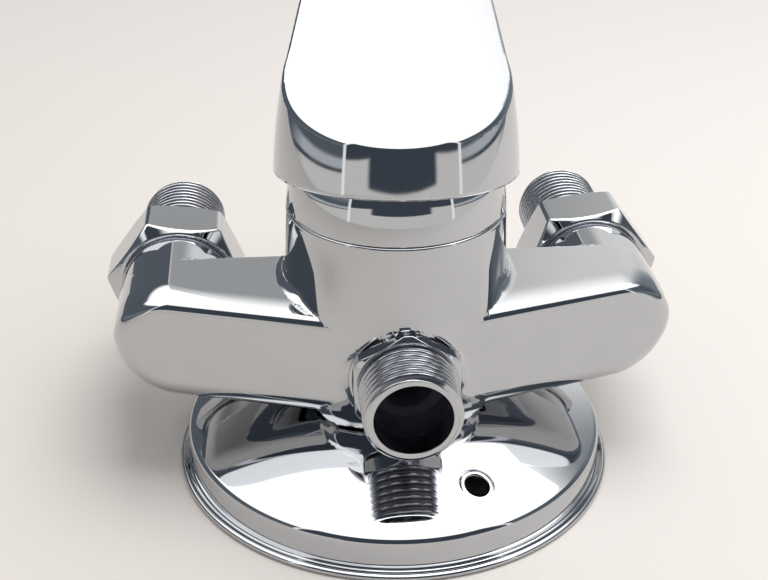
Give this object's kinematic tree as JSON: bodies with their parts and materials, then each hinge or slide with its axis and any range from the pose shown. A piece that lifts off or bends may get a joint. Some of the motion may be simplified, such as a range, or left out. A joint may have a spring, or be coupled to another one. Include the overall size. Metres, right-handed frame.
{
  "type": "single lever shower mixer",
  "caption": "Exposed single lever shower mixer on a round wall plate, with two union inlets, a threaded hose outlet and a ceramic disc cartridge.",
  "frame": {"origin": "centre of the wall plate's rim, in the plane of the wall", "axes": "+Z out of the wall, +Y towards the two inlets (up when fixed), -Y towards the hose outlet, +X to the right seen from the outlet"},
  "size_m": [0.1344, 0.1293, 0.1218],
  "materials": {
    "chrome": "mirror polished chrome plating on brass",
    "brass": "turned brass",
    "fibre": "black sealing washer",
    "rubber": "moulded rubber seal",
    "white_plastic": "moulded engineering plastic",
    "red_plastic": "moulded engineering plastic",
    "grey_plastic": "moulded engineering plastic",
    "ceramic": "lapped alumina ceramic",
    "steel": "machined stainless steel"
  },
  "bodies": {
    "base": {"wall_plate": "chrome", "plate_gasket": "rubber", "plate_nut": "brass", "body": "chrome", "outlet_nipple": "chrome", "outlet_washer": "fibre", "left_union_tail": "chrome", "right_union_tail": "chrome", "left_inlet_washer": "fibre", "right_inlet_washer": "fibre", "cartridge_base": "white_plastic", "port_seals": "rubber", "fixed_disc": "ceramic", "cartridge_housing": "white_plastic", "clamp_ring": "brass", "bonnet": "chrome"},
    "rotor": {"turret": "red_plastic", "spindle_pin": "steel"},
    "lever": {"spindle": "steel", "handle": "chrome", "handle_screw": "steel", "handle_plug": "grey_plastic"},
    "slider": {"disc_carrier": "grey_plastic", "moving_disc": "ceramic"},
    "left_nut": {"left_union_nut": "chrome"},
    "right_nut": {"right_union_nut": "chrome"}
  },
  "joints": [
    {"name": "handle_turn", "type": "hinge", "parent": "base", "child": "rotor", "pos_m": [0, 0, 0.062], "axis": [0, 0, 1], "range_deg": [-40, 50]},
    {"name": "lever_lift", "type": "hinge", "parent": "rotor", "child": "lever", "pos_m": [0, 0, 0.062], "axis": [0.9962, -0.0872, 0], "range_deg": [0, 25]},
    {"name": "disc_slide", "type": "slide", "parent": "rotor", "child": "slider", "axis": [0.0872, 0.9962, 0], "range_m": [0, 0.00338]},
    {"name": "left_nut_spin", "type": "hinge", "parent": "base", "child": "left_nut", "pos_m": [-0.05, 0.0284, 0.034], "axis": [0, 1, 0], "continuous": true},
    {"name": "right_nut_spin", "type": "hinge", "parent": "base", "child": "right_nut", "pos_m": [0.05, 0.0284, 0.034], "axis": [0, 1, 0], "continuous": true}
  ],
  "couplings": [
    {"joint": "disc_slide", "follows": "lever_lift", "m_per_rad": 0.007724}
  ]
}
